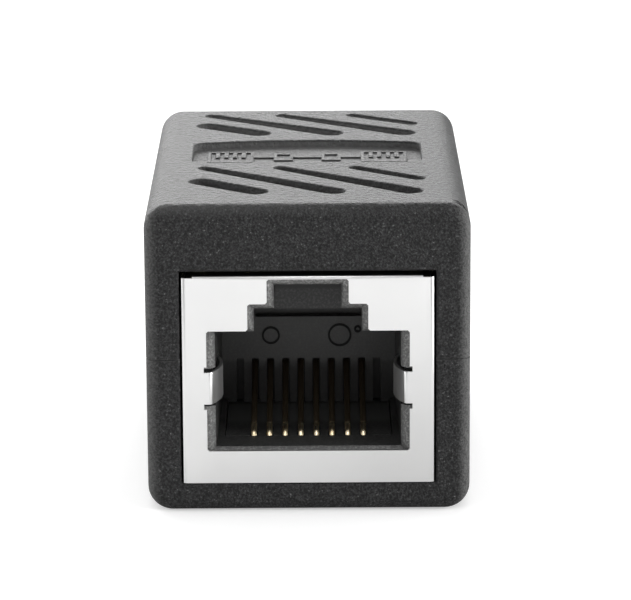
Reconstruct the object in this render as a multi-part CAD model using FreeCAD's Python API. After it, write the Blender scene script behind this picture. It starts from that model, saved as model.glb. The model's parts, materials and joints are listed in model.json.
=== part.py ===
# Inline coupler that joins two network cables end to end.
#
# A two-piece moulded housing holds two shielded eight-contact sockets back to back. Both are
# soldered to one small circuit board that lies above them, under the roof.
#
# Frame: millimetres, +Z up, origin at the centre of the base. The sockets face -Y (front)
# and +Y (rear). The rear socket is the front one turned half a turn about Z.
import FreeCAD
import Part

import math
import os

from FreeCAD import Vector

# ---------------------------------------------------------------- housing
port_side_gap = 0.14            # gap between a socket and the rim of its opening
port_top_gap = 0.3
port_rim_bevel = 0.12
side_room = 0.825               # between a socket and the inside of a side wall
cradle_height = 0.4             # ribs that lift the sockets off the base
board_headroom = 1.8            # between the circuit board and the roof
middle_gap = 0.8                # between the rear walls of the two sockets
side_wall = 1.5
end_wall = 1.6
roof_thickness = 1.6
base_thickness = 1.5
long_edge_radius = 1.6          # the four edges that run from port to port
end_edge_radius = 0.78          # the edges all round each end face
seam_height = 10.1              # level of the joint between the two shells
seam_groove = 0.1               # width and depth of the hairline along that joint

lip_thickness = 0.6             # lip of the lower shell that plugs into the upper one
lip_height = 0.9
lip_clearance = 0.08
snap_height = 0.5               # ridge on the lip that snaps into the upper shell
snap_proud = 0.15
snap_length = 5.0

rib_thickness = 1.0             # ribs that locate the sockets inside the shells
rib_clearance = 0.05
rib_depths = (4.6, 10.6)        # from the end face to the middle of each rib

# ---------------------------------------------------------------- relief on the roof
relief_depth = 0.48
relief_side_margin = 2.7        # plain roof beside the slots and the plaque
relief_front_margin = 3.25      # plain roof in front of the front row of slots
relief_rear_margin = 1.9        # plain roof behind the rear row
front_row_length = 8.05
rear_row_length = 7.1
slot_front_radius = 0.8         # slots are wide where they end at the front of their row
slot_rear_radius = 0.45         # and narrow where they end at the rear of it
slot_pitch = 4.96               # across the coupler
slot_run = 8.35                 # how far a slot leans across from its front to its rear end
slot_inset = 0.23               # the last full slot starts this far inside the row's corner
shortest_slot = 1.5

plaque_front_gap = 1.3          # between the plaque and the front row
plaque_rear_gap = 1.55          # between the plaque's bowed edge and the rear row
plaque_bow = 0.85
plaque_corner_radius = 0.9

# ---------------------------------------------------------------- socket shield
shield_width = 16.05
shield_height = 13.7
sheet = 0.2
bend_radius = 0.3
corner_notch = 0.7              # relief at the upper corners of the face plate
corner_cut = 0.3                # bevel at its lower corners
fold_slit = 0.1                 # slit between neighbouring folded walls
top_fold_depth = 6.5
rear_fold_drop = 0.9            # how far the rear wall stops short of the top
side_window = (7.4, 2.6, 5.6, 1.8)      # depth, length, height and rise of the catch window

# The face window stands back from the plug opening: at the sides and above its main, middle
# and top step, and at its floor.
window_side_rims = (0.535, 0.405, 0.46)
window_top_rims = (0.16, 0.42, 0.47)
window_floor_rim = 0.16
window_corner_cut = 0.12

finger_drop = 6.33              # top of a side spring finger below the face plate's top
finger_height = 2.1
finger_root_inset = 0.125       # roots of the two fingers inside the window's edges
finger_length = 4.6
finger_reach = 0.6
finger_relief = 0.35            # slot above and below the root of each finger
finger_pocket_clearance = 0.2

tab_depth = 9.2                 # board tabs of the shield
tab_length = 1.6
tab_rise = 0.8

# ---------------------------------------------------------------- socket insulator
fit = 0.05                      # general clearance between nested parts of a socket
opening_widths = (11.88, 6.87, 4.28)    # main, middle and top step of the plug opening
opening_floor = 2.3             # above the underside of the socket
opening_drops = (3.76, 2.25, 0.69)      # ceilings of the steps below the top of the socket
cavity_depth = 11.5
latch_depth = 6.2
cavity_draft = 0.16             # narrowing of each side of the cavity towards its rear
lead_in = 0.35
rear_wall = 1.1
lip_depth = 2.9                 # floor in front of the contacts
catch_thickness = 0.12          # catch that fills the side window of the shield

comb_slots = 10
comb_slot_width = 0.5
comb_slot_depth = 0.7
comb_height = 2.8               # above the floor of the plug opening

# ---------------------------------------------------------------- contacts and their carrier
contact_count = 8
contact_pitch = 1.016
contact_width = 0.38            # of the stamped contact strip
contact_thickness = 0.34
hook_radius = 0.55              # bend at the front of each contact
hook_rise = 0.2                 # how far the wire's centre passes above the opening's floor
hook_clearance = 0.15           # between the front of the hooks and the floor's edge
tip_drop = 0.3                  # free end below the top of the comb
tip_entry = 0.45                # free end inside its comb slot
riser_radius = 0.35             # bend at the foot of each riser
riser_rows = (0.4, 1.0)         # odd and even contacts, behind the front of the carrier's riser
tail_rise = 0.7                 # tails stand this far above the circuit board

carrier_groove = 0.5
carrier_margin = 0.3            # carrier beyond its outermost comb position
carrier_nose_length = 1.3
carrier_top_drop = 0.3          # carrier's floor below the floor of the plug opening
carrier_riser_thickness = 1.7
carrier_end_clearance = 0.05
open_groove_length = 2.0

# ---------------------------------------------------------------- circuit board
board_thickness = 1.2
board_side_gap = 0.25
board_end_gap = 0.8
board_corner_cut = 1.0
pin_hole_clearance = 0.16
slot_clearance = 0.2
solder_foot_width = 1.0         # across the flats of the cone round each tail
solder_neck_width = 0.56
solder_height = 0.45
clamp_width = 9.0               # ribs under the roof that hold the board down

# ---------------------------------------------------------------- values that follow
jack_base = base_thickness + cradle_height
jack_top = jack_base + shield_height
riser_front = cavity_depth + rear_wall + fit
carrier_depth = riser_front + carrier_riser_thickness
shield_depth = carrier_depth + carrier_end_clearance + sheet
board_bottom_z = jack_top
board_top_z = board_bottom_z + board_thickness
shield_half_width = shield_width / 2
hollow_half_width = shield_half_width + side_room
half_width = hollow_half_width + side_wall
half_length = shield_depth + middle_gap / 2
housing_width = 2 * half_width
housing_length = 2 * half_length
housing_height = board_top_z + board_headroom + roof_thickness
relief_half_width = half_width - relief_side_margin
front_row_y = relief_front_margin - half_length
rear_row_y = half_length - relief_rear_margin - rear_row_length
window_widths = [width + 2 * rim for width, rim in zip(opening_widths, window_side_rims)]
window_drops = [drop - rim for drop, rim in zip(opening_drops, window_top_rims)]
finger_root = window_widths[0] / 2 - finger_root_inset
insulator_half_width = shield_half_width - sheet - fit
insulator_bottom = jack_base + sheet
insulator_top = jack_top - sheet - fit
insulator_depth = cavity_depth + rear_wall
opening_floor_z = jack_base + opening_floor
comb_top_z = opening_floor_z + comb_height
carrier_half_width = comb_slots * contact_pitch / 2 + carrier_margin
carrier_floor_z = opening_floor_z - carrier_top_drop
hook_centre_z = opening_floor_z + hook_rise - hook_radius
half_contact = contact_thickness / 2
hook_centre_depth = lip_depth + hook_clearance + half_contact + hook_radius
run_z = hook_centre_z - hook_radius
finger_top_z = jack_top - finger_drop
finger_bottom_z = finger_top_z - finger_height
BEYOND = 1.0                    # how far a cutting body runs past what it cuts
TOLERANCE = 1e-4


# ---------------------------------------------------------------- small helpers
def box(x0, x1, y0, y1, z0, z1):
    """A block between two opposite corners."""
    return Part.makeBox(x1 - x0, y1 - y0, z1 - z0, Vector(x0, y0, z0))


def port_box(x0, x1, depth0, depth1, z0, z1):
    """A block placed by its depth behind the front face."""
    return box(x0, x1, depth0 - half_length, depth1 - half_length, z0, z1)


def on_both_sides(shape):
    """A shape and its mirror image across the middle plane X = 0."""
    return [shape, shape.mirror(Vector(0, 0, 0), Vector(1, 0, 0))]


def turned(shape):
    """A copy of a front-socket piece turned to the rear socket."""
    copy = shape.copy()
    copy.rotate(Vector(0, 0, 0), Vector(0, 0, 1), 180)
    return copy


def cut_all(shape, cutters):
    """A shape with several bodies cut away."""
    return shape.cut(Part.Compound(cutters)) if cutters else shape


def fuse_all(shape, others):
    """One clean solid made of overlapping bodies."""
    return shape.multiFuse(others).removeSplitter() if others else shape


def one_solid(shape):
    """The single solid that a finished piece has to be."""
    if len(shape.Solids) != 1 or not shape.isValid():
        raise ValueError(f"expected one valid solid, got {len(shape.Solids)}")
    return shape.Solids[0]


def row_positions(count, pitch):
    """Evenly spaced places centred on zero."""
    return [(index - (count - 1) / 2) * pitch for index in range(count)]


def rectangle(half_x, z0, z1, depth):
    """The corners of an upright rectangle at a depth behind the front face."""
    corners = [(-half_x, z0), (half_x, z0), (half_x, z1), (-half_x, z1)]
    return [Vector(x, depth - half_length, z) for x, z in corners]


def stepped_outline(widths, floor_z, ceilings, depth, grow=0.0):
    """The corners of a stepped plug opening, grown by a margin on every side."""
    main, middle, top = (width / 2 + grow for width in widths)
    low, mid, high = (ceiling + grow for ceiling in ceilings)
    floor = floor_z - grow
    right = [(main, floor), (main, low), (middle, low), (middle, mid), (top, mid), (top, high)]
    left = [(-x, z) for x, z in reversed(right)]
    return [Vector(x, depth - half_length, z) for x, z in right + left]


def closed(points):
    """The closed outline through a ring of corners."""
    return Part.makePolygon(points + points[:1])


def frustum(first, second):
    """A flat-sided solid between two rings of corners."""
    faces = [Part.Face(closed(first)), Part.Face(closed(second))]
    for index, corner in enumerate(first):
        ahead = (index + 1) % len(first)
        faces.append(Part.Face(closed([corner, first[ahead], second[ahead], second[index]])))
    solid = Part.Solid(Part.Shell(faces))
    if solid.Volume < 0:
        solid.reverse()
    return solid


def octagon(across_flats, centre):
    """The corners of a level eight-sided outline."""
    radius = across_flats / 2 / math.cos(math.pi / 8)
    angles = [(index + 0.5) * math.pi / 4 for index in range(8)]
    return [centre + Vector(radius * math.cos(a), radius * math.sin(a), 0) for a in angles]


def upright_prism(corners, height):
    """A level outline raised from where it lies."""
    return Part.Face(closed(corners)).extrude(Vector(0, 0, height))


def plan_prism(wire, z0, z1):
    """A level outline drawn at height zero, raised into a prism."""
    face = Part.Face(wire)
    face.translate(Vector(0, 0, z0))
    return face.extrude(Vector(0, 0, z1 - z0))


# ---------------------------------------------------------------- housing
def housing_block():
    """The outer form: a block with its long edges and both end faces rounded."""
    block = box(-half_width, half_width, -half_length, half_length, 0, housing_height)

    def runs_lengthwise(edge):
        first, last = edge.Vertexes
        return abs(first.X - last.X) < TOLERANCE and abs(first.Z - last.Z) < TOLERANCE

    def lies_on_end(edge):
        places = [vertex.Y for vertex in edge.Vertexes] + [edge.CenterOfMass.y]
        return all(abs(abs(place) - half_length) < TOLERANCE for place in places)

    block = block.makeFillet(long_edge_radius, [e for e in block.Edges if runs_lengthwise(e)])
    end_radius = min(end_edge_radius, 0.9 * long_edge_radius)
    return block.makeFillet(end_radius, [e for e in block.Edges if lies_on_end(e)])


def port_rim_bevels():
    """The small bevel round the mouth of each port."""
    half_x = shield_half_width + port_side_gap
    top = jack_top + port_top_gap
    mouth = rectangle(half_x + port_rim_bevel, jack_base - port_rim_bevel,
                      top + port_rim_bevel, 0)
    throat = rectangle(half_x, jack_base, top, port_rim_bevel)
    bevel = frustum(mouth, throat)
    return [bevel, turned(bevel)]


def seam_hairline():
    """The fine groove that the joint between the shells leaves all round."""
    half_x = half_width - seam_groove
    half_y = half_length - seam_groove
    core = box(-half_x, half_x, -half_y, half_y, 0, housing_height)
    upright = [e for e in core.Edges if abs(e.Vertexes[0].Z - e.Vertexes[1].Z) > TOLERANCE]
    core = core.makeFillet(end_edge_radius - seam_groove, upright)
    slab = box(-housing_width, housing_width, -housing_length, housing_length,
               seam_height - seam_groove / 2, seam_height + seam_groove / 2)
    return slab.cut(core)


def tapered_slot(front, front_radius, rear, rear_radius):
    """A level outline round two circles and the straight sides that touch both."""
    axis = rear - front
    heading = math.atan2(axis.y, axis.x)
    touch = math.acos((front_radius - rear_radius) / axis.Length)

    def point(centre, radius, angle):
        return centre + Vector(math.cos(heading + angle), math.sin(heading + angle), 0) * radius

    left, right = point(front, front_radius, touch), point(front, front_radius, -touch)
    far_left, far_right = point(rear, rear_radius, touch), point(rear, rear_radius, -touch)
    return Part.Wire([
        Part.Arc(left, point(front, front_radius, math.pi), right).toShape(),
        Part.makeLine(right, far_right),
        Part.Arc(far_right, point(rear, rear_radius, 0), far_left).toShape(),
        Part.makeLine(far_left, left),
    ])


def slot_row(row_y, row_length):
    """A row of slanting slots on the roof, from the y of its front edge.

    A slot that a side of the row cuts short takes the radius of its whole end at both ends.
    """
    rise = row_length - slot_front_radius - slot_rear_radius
    right_limit = relief_half_width - slot_rear_radius
    left_limit = slot_rear_radius - relief_half_width
    count = int((2 * relief_half_width + slot_run) / slot_pitch)
    last_whole_x = relief_half_width - slot_front_radius - slot_inset
    slots = []
    for index in range(count):
        foot_x = last_whole_x + slot_pitch - index * slot_pitch
        front_x, front_radius = foot_x, slot_front_radius
        if foot_x > right_limit:
            front_x, front_radius = right_limit, slot_rear_radius
        rear_x, rear_radius = foot_x - slot_run, slot_rear_radius
        if rear_x < left_limit:
            rear_x, rear_radius = slot_front_radius - relief_half_width, slot_front_radius
        if front_x - rear_x < shortest_slot:
            continue
        front, rear = [Vector(x, row_y + slot_front_radius + rise * (foot_x - x) / slot_run, 0)
                       for x in (front_x, rear_x)]
        outline = tapered_slot(front, front_radius, rear, rear_radius)
        slots.append(plan_prism(outline, housing_height - relief_depth,
                                housing_height + BEYOND))
    return slots


def plaque_recess():
    """The shallow field between the rows of slots, whose rear edge is bowed."""
    front_y = front_row_y + front_row_length + plaque_front_gap
    bow_y = rear_row_y - plaque_rear_gap
    side_y = bow_y - plaque_bow
    half_x = relief_half_width
    rear = Part.Arc(Vector(half_x, side_y, 0), Vector(0, bow_y, 0),
                    Vector(-half_x, side_y, 0)).toShape()
    sides = Part.makePolygon([Vector(-half_x, side_y, 0), Vector(-half_x, front_y, 0),
                              Vector(half_x, front_y, 0), Vector(half_x, side_y, 0)])
    outline = Part.Face(Part.Wire([rear] + sides.Edges))
    rounded = outline.makeOffset2D(-plaque_corner_radius).makeOffset2D(plaque_corner_radius)
    return plan_prism(rounded.Faces[0].OuterWire,
                      housing_height - relief_depth, housing_height + BEYOND)


def rib_pair(depth, z0, z1):
    """Two upright ribs that stop a socket from moving sideways."""
    inner = shield_half_width + rib_clearance
    rib = port_box(inner, hollow_half_width + BEYOND / 2, depth - rib_thickness / 2,
                   depth + rib_thickness / 2, z0, z1)
    return on_both_sides(rib)


def lip_band(extra, z0, z1):
    """Strips along both side walls where the shells plug together."""
    reach = half_length - end_wall
    strip = box(hollow_half_width, hollow_half_width + lip_thickness + extra,
                -reach, reach, z0, z1)
    return on_both_sides(strip)


def snap_ridges(extra):
    """Ramped ridges on the lip, or with extra size the grooves that take them."""
    root_x = hollow_half_width + lip_thickness / 2
    crest_x = hollow_half_width + lip_thickness + snap_proud + extra
    middle_z = seam_height + lip_height / 2
    half_z = snap_height / 2 + extra
    half_y = snap_length / 2 + extra
    flank = crest_x - root_x
    points = [Vector(root_x, -half_y, middle_z - half_z - lip_thickness / 2),
              Vector(crest_x, -half_y, middle_z), Vector(root_x, -half_y, middle_z + half_z + flank)]
    ridge = Part.Face(closed(points)).extrude(Vector(0, 2 * half_y, 0))
    band = box(0, housing_width, -housing_length, housing_length,
               middle_z - half_z, middle_z + half_z)
    return on_both_sides(ridge.common(band))


def hollow_housing():
    """The housing before it is parted at the seam."""
    hollow = box(-hollow_half_width, hollow_half_width, end_wall - half_length,
                 half_length - end_wall, base_thickness, housing_height - roof_thickness)
    port_half_width = shield_half_width + port_side_gap
    ports = box(-port_half_width, port_half_width, -housing_length, housing_length,
                jack_base, jack_top + port_top_gap)
    return cut_all(housing_block(), [hollow, ports] + port_rim_bevels())


def upper_shell(housing):
    """Roof, upper walls, board clamps and the relief."""
    above = box(-housing_width, housing_width, -housing_length, housing_length,
                seam_height, housing_height + BEYOND)
    shell = housing.common(above)
    ribs = []
    roof_z = housing_height - roof_thickness
    for depth in rib_depths:
        ribs += rib_pair(depth, seam_height, jack_top)
    clamp = port_box(-clamp_width / 2, clamp_width / 2, rib_depths[0] - rib_thickness / 2,
                     rib_depths[0] + rib_thickness / 2, board_top_z, roof_z + BEYOND / 2)
    ribs.append(clamp)
    shell = fuse_all(shell, ribs + [turned(rib) for rib in ribs])
    recesses = lip_band(lip_clearance, seam_height - BEYOND, seam_height + lip_height + lip_clearance)
    recesses += snap_ridges(lip_clearance)
    recesses += slot_row(front_row_y, front_row_length)
    recesses += slot_row(rear_row_y, rear_row_length)
    recesses += [plaque_recess(), seam_hairline()]
    return one_solid(cut_all(shell, recesses))


def lower_shell(housing):
    """Base, lower walls, cradle ribs and the snap lip."""
    below = box(-housing_width, housing_width, -housing_length, housing_length,
                -BEYOND, seam_height)
    shell = housing.common(below)
    ribs = []
    for depth in rib_depths:
        ribs += rib_pair(depth, base_thickness - BEYOND / 2, seam_height)
        cradle = port_box(-hollow_half_width, hollow_half_width, depth - rib_thickness / 2,
                          depth + rib_thickness / 2, base_thickness - BEYOND / 2, jack_base)
        ribs.append(cradle)
    ribs += [turned(rib) for rib in ribs]
    lips = lip_band(0, seam_height - BEYOND, seam_height + lip_height)
    shell = fuse_all(shell, ribs + lips + snap_ridges(0))
    return one_solid(shell.cut(seam_hairline()))


# ---------------------------------------------------------------- socket shield
def spring_finger():
    """One side spring finger, bent back into the socket from the face plate."""
    swing = 2 * math.atan(2 * finger_reach / finger_length)
    bow_radius = finger_length / 2 / math.sin(swing)
    turn = math.pi / 2 - swing
    face_y = -half_length

    def bend_point(radius, angle):
        return Vector(finger_root - radius * math.sin(angle),
                      face_y + bend_radius - radius * math.cos(angle), 0)

    def bow_point(radius, angle):
        return Vector(bow_x - radius * math.cos(angle), bow_y + radius * math.sin(angle), 0)

    inner_bend = bend_radius - sheet
    start = bend_point(bend_radius, turn)
    bow_x = start.x + bow_radius * math.cos(swing)
    bow_y = start.y + bow_radius * math.sin(swing)
    inner_bow = bow_radius - sheet
    edges = [
        Part.Arc(bend_point(bend_radius, 0), bend_point(bend_radius, turn / 2), start).toShape(),
        Part.Arc(start, bow_point(bow_radius, 0), bow_point(bow_radius, swing)).toShape(),
        Part.makeLine(bow_point(bow_radius, swing), bow_point(inner_bow, swing)),
        Part.Arc(bow_point(inner_bow, swing), bow_point(inner_bow, 0),
                 bow_point(inner_bow, -swing)).toShape(),
        Part.Arc(bend_point(inner_bend, turn), bend_point(inner_bend, turn / 2),
                 bend_point(inner_bend, 0)).toShape(),
        Part.makeLine(bend_point(inner_bend, 0), bend_point(bend_radius, 0)),
    ]
    return plan_prism(Part.Wire(edges), finger_bottom_z, finger_top_z)


def face_window():
    """The stepped window of the face plate, with slots beside the finger roots."""
    ceilings = [jack_top - drop for drop in window_drops]
    outline = stepped_outline(window_widths, opening_floor_z - window_floor_rim, ceilings,
                              -BEYOND)
    window = Part.Face(closed(outline)).extrude(Vector(0, BEYOND + 2 * sheet, 0))
    corners = [e for e in window.Edges if abs(e.Vertexes[0].Y - e.Vertexes[1].Y) > TOLERANCE]
    window = window.makeChamfer(window_corner_cut, corners)
    main_half = window_widths[0] / 2
    root = port_box(finger_root, main_half + BEYOND, -2 * BEYOND, BEYOND,
                    finger_bottom_z, finger_top_z)
    slots = []
    for low in (finger_bottom_z - finger_relief, finger_top_z):
        slot = port_box(finger_root - finger_relief, main_half + finger_relief / 2,
                        -BEYOND, 2 * sheet, low, low + finger_relief)
        slots += on_both_sides(slot)
    return [cut_all(window, on_both_sides(root))] + slots


def shield():
    """Folded sheet-metal shield of the front socket, one piece."""
    outer = port_box(-shield_half_width, shield_half_width, 0, shield_depth, jack_base, jack_top)
    front_edges = [e for e in outer.Edges
                   if all(abs(v.Y + half_length) < TOLERANCE for v in e.Vertexes)]
    outer = outer.makeFillet(bend_radius, front_edges)
    inner_half = shield_half_width - sheet
    inner = port_box(-inner_half, inner_half, sheet, shield_depth - sheet,
                     jack_base + sheet, jack_top - sheet)
    cutters = [inner] + face_window()
    # The top wall is folded back only part of the way, between its corner notches.
    cutters += on_both_sides(port_box(shield_half_width - corner_notch, housing_width, -BEYOND,
                                      shield_depth + BEYOND, jack_top - sheet, jack_top + BEYOND))
    cutters.append(port_box(-housing_width, housing_width, top_fold_depth,
                            shield_depth + BEYOND, jack_top - sheet, jack_top + BEYOND))
    # Slits part the side walls from the floor and from the rear wall.
    slit_x = inner_half - fold_slit
    cutters += on_both_sides(port_box(slit_x, inner_half, 2 * bend_radius, shield_depth + BEYOND,
                                      jack_base - BEYOND, jack_base + sheet))
    cutters += on_both_sides(port_box(slit_x, inner_half, shield_depth - sheet,
                                      shield_depth + BEYOND, jack_base - BEYOND, jack_top))
    cutters.append(port_box(-inner_half, inner_half, shield_depth - sheet, shield_depth + BEYOND,
                            jack_top - rear_fold_drop, jack_top))
    # Bevelled lower corners of the face plate.
    corner_x = shield_half_width + jack_base - corner_cut
    bevel = [Vector(corner_x - jack_base - BEYOND, -half_length - BEYOND, jack_base - BEYOND),
             Vector(shield_half_width + BEYOND, -half_length - BEYOND, jack_base - BEYOND),
             Vector(shield_half_width + BEYOND, -half_length - BEYOND,
                    jack_base + corner_cut + BEYOND)]
    corner = Part.Face(closed(bevel)).extrude(Vector(0, BEYOND + 2 * bend_radius, 0))
    cutters += on_both_sides(corner)
    # Windows in the side walls that take the insulator's catches.
    depth, length, height, rise = side_window
    cutters += on_both_sides(port_box(inner_half - BEYOND, shield_half_width + BEYOND, depth,
                                      depth + length, jack_base + height,
                                      jack_base + height + rise))
    body = cut_all(outer, cutters)
    tab = port_box(inner_half, shield_half_width, tab_depth, tab_depth + tab_length,
                   jack_top - sheet - BEYOND, board_top_z + tab_rise)
    return one_solid(fuse_all(body, on_both_sides(tab) + on_both_sides(spring_finger())))


# ---------------------------------------------------------------- socket insulator
def plug_opening():
    """The stepped space that takes the plug and its latch."""
    low, mid, high = (jack_top - drop for drop in opening_drops)
    main_half, middle_half, top_half = (width / 2 for width in opening_widths)
    mouth = rectangle(main_half, opening_floor_z, low, 0)
    rear = rectangle(main_half - cavity_draft, opening_floor_z, low, cavity_depth)
    main = frustum(mouth, rear)
    middle = port_box(-middle_half, middle_half, 0, latch_depth, opening_floor_z, mid)
    top = port_box(-top_half, top_half, 0, latch_depth, opening_floor_z, high)
    ceilings = (low, mid, high)
    wide = stepped_outline(opening_widths, opening_floor_z, ceilings, sheet + fit, lead_in)
    narrow = stepped_outline(opening_widths, opening_floor_z, ceilings, sheet + fit + lead_in)
    return [main, middle, top, frustum(wide, narrow)]


def insulator():
    """Moulded body of the front socket: plug opening, latch channel and contact comb."""
    block = port_box(-insulator_half_width, insulator_half_width, sheet + fit, insulator_depth,
                     insulator_bottom, insulator_top)
    cutters = plug_opening()
    for x in row_positions(comb_slots, contact_pitch):
        cutters.append(port_box(x - comb_slot_width / 2, x + comb_slot_width / 2,
                                cavity_depth - BEYOND, cavity_depth + comb_slot_depth,
                                insulator_bottom - BEYOND, comb_top_z))
    # The floor is open behind its front lip, where the contact carrier lies.
    tray_half = carrier_half_width + fit
    cutters.append(port_box(-tray_half, tray_half, lip_depth, insulator_depth + BEYOND,
                            insulator_bottom - BEYOND, carrier_floor_z + fit))
    cutters.append(port_box(-tray_half, tray_half, lip_depth, cavity_depth,
                            insulator_bottom - BEYOND, opening_floor_z + BEYOND))
    pocket = port_box(opening_widths[0] / 2 - BEYOND, finger_root + bend_radius + sheet,
                      0, finger_length + 2 * bend_radius + finger_pocket_clearance,
                      finger_bottom_z - finger_pocket_clearance,
                      finger_top_z + finger_pocket_clearance)
    cutters += on_both_sides(pocket)
    body = cut_all(block, cutters)
    depth, length, height, rise = side_window
    catch = port_box(insulator_half_width - BEYOND / 2, insulator_half_width + catch_thickness,
                     depth + fit, depth + length - fit,
                     jack_base + height + fit, jack_base + height + rise - fit)
    return one_solid(fuse_all(body, on_both_sides(catch)))


# ---------------------------------------------------------------- contacts and carrier
def contact_places():
    """Across position and riser depth of each contact, from left to right."""
    places = row_positions(contact_count, contact_pitch)
    return [(x, riser_front + riser_rows[index % 2]) for index, x in enumerate(places)]


def contact_carrier():
    """Moulded tray and riser that hold the eight contacts of the front socket."""
    tray = port_box(-carrier_half_width, carrier_half_width, lip_depth + fit, carrier_depth,
                    insulator_bottom, carrier_floor_z)
    nose = port_box(-carrier_half_width, carrier_half_width, lip_depth + fit,
                    lip_depth + fit + carrier_nose_length, insulator_bottom, opening_floor_z)
    riser = port_box(-carrier_half_width, carrier_half_width, riser_front, carrier_depth,
                     insulator_bottom, insulator_top)
    block = fuse_all(tray, [nose, riser])
    half = carrier_groove / 2
    cutters = []
    for x, row in contact_places():
        open_end = lip_depth + fit + open_groove_length
        cutters.append(port_box(x - half, x + half, lip_depth - BEYOND, open_end,
                                run_z - half_contact, opening_floor_z + BEYOND))
        cutters.append(port_box(x - half, x + half, open_end - BEYOND, shield_depth,
                                run_z - half_contact, run_z + half))
        cutters.append(port_box(x - half, x + half, row - half, shield_depth,
                                run_z - half_contact, insulator_top + BEYOND))
    return one_solid(cut_all(block, cutters))


def contact(x, row):
    """One spring contact: free end, hook, run under the floor, riser and board tail."""
    tip_depth = cavity_depth + tip_entry
    tip_z = comb_top_z - tip_drop
    across = tip_depth - hook_centre_depth
    up = tip_z - hook_centre_z
    straight = math.sqrt(across ** 2 + up ** 2 - hook_radius ** 2)
    slope = math.atan2(up, across) - math.atan2(hook_radius, straight)

    def place(depth, z):
        return Vector(x, depth - half_length, z)

    tip = place(tip_depth, tip_z)
    leave = place(hook_centre_depth - hook_radius * math.sin(slope),
                  hook_centre_z + hook_radius * math.cos(slope))
    front = place(hook_centre_depth - hook_radius, hook_centre_z)
    under = place(hook_centre_depth, run_z)
    foot = place(row - riser_radius, run_z)
    knee = place(row - riser_radius * (1 - math.sin(math.pi / 4)),
                 run_z + riser_radius * (1 - math.cos(math.pi / 4)))
    rise = place(row, run_z + riser_radius)
    tail = place(row, board_top_z + tail_rise)
    path = Part.Wire([
        Part.makeLine(tip, leave),
        Part.Arc(leave, front, under).toShape(),
        Part.makeLine(under, foot),
        Part.Arc(foot, knee, rise).toShape(),
        Part.makeLine(rise, tail)])
    upward = Vector(0, -math.sin(slope), math.cos(slope)) * half_contact
    sideways = Vector(contact_width / 2, 0, 0)
    section = closed([tip - sideways - upward, tip + sideways - upward,
                      tip + sideways + upward, tip - sideways + upward])
    return one_solid(path.makePipeShell([section], True, False))


# ---------------------------------------------------------------- circuit board
def circuit_board():
    """Board above the sockets, with holes for the tails and the shield tabs."""
    half_x = hollow_half_width - board_side_gap
    half_y = half_length - end_wall - board_end_gap
    board = box(-half_x, half_x, -half_y, half_y, board_bottom_z, board_top_z)
    upright = [e for e in board.Edges if abs(e.Vertexes[0].Z - e.Vertexes[1].Z) > TOLERANCE]
    board = board.makeChamfer(board_corner_cut, upright)
    start_z = board_bottom_z - BEYOND
    height = board_thickness + 2 * BEYOND
    holes = []
    for x, row in contact_places():
        outline = octagon(contact_width + 2 * pin_hole_clearance,
                          Vector(x, row - half_length, start_z))
        holes.append(upright_prism(outline, height))
    holes += on_both_sides(port_box(shield_half_width - sheet - slot_clearance,
                                    shield_half_width + slot_clearance,
                                    tab_depth - slot_clearance,
                                    tab_depth + tab_length + slot_clearance,
                                    start_z, start_z + height))
    return one_solid(cut_all(board, holes + [turned(hole) for hole in holes]))


def solder_joints():
    """The solder cones round the contact tails and the mounds round the shield tabs."""
    joints = []
    for x, row in contact_places():
        foot = Vector(x, row - half_length, board_top_z)
        neck = foot + Vector(0, 0, solder_height)
        cone = frustum(octagon(solder_foot_width, foot), octagon(solder_neck_width, neck))
        y = row - half_length
        tail = box(x - contact_width / 2, x + contact_width / 2, y - half_contact,
                   y + half_contact, board_top_z - BEYOND, board_top_z + BEYOND)
        joints.append(cone.cut(tail))
    inner = shield_half_width - sheet
    grow = slot_clearance + (solder_foot_width - contact_width) / 2 - pin_hole_clearance
    middle_x = shield_half_width - sheet / 2
    middle_y = tab_depth + tab_length / 2 - half_length

    def level_rectangle(margin, z):
        low_x, high_x = middle_x - sheet / 2 - margin, middle_x + sheet / 2 + margin
        low_y, high_y = middle_y - tab_length / 2 - margin, middle_y + tab_length / 2 + margin
        corners = [(low_x, low_y), (high_x, low_y), (high_x, high_y), (low_x, high_y)]
        return [Vector(cx, cy, z) for cx, cy in corners]

    mound = frustum(level_rectangle(grow, board_top_z),
                    level_rectangle(fit, board_top_z + solder_height))
    tab = port_box(inner, shield_half_width, tab_depth, tab_depth + tab_length,
                   board_top_z - BEYOND, board_top_z + BEYOND)
    joints += on_both_sides(mound.cut(tab))
    return Part.Compound(joints)


# ---------------------------------------------------------------- all pieces
def build_pieces():
    """Every piece of the coupler by name, in place."""
    housing = hollow_housing()
    pieces = {
        "upper_shell": upper_shell(housing),
        "lower_shell": lower_shell(housing),
        "circuit_board": circuit_board(),
    }
    socket = {
        "shield": shield(),
        "insulator": insulator(),
        "contact_carrier": contact_carrier(),
        "solder_joints": solder_joints(),
    }
    for number, (x, row) in enumerate(contact_places(), start=1):
        socket[f"contact_{number}"] = contact(x, row)
    for name, shape in socket.items():
        pieces[f"front_{name}"] = shape
        pieces[f"rear_{name}"] = turned(shape)
    return pieces


def main():
    """Write each piece to its own STEP file."""
    os.makedirs("parts", exist_ok=True)
    for name, shape in build_pieces().items():
        shape.exportStep(f"parts/{name}.step")


main()
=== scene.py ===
"""Dresses an inline network coupler: mouldings, plated shields, spring contacts and studio."""
import json
import logging
import math
from dataclasses import dataclass
from enum import Enum

import bmesh
import bpy
from mathutils import Matrix, Vector

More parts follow.
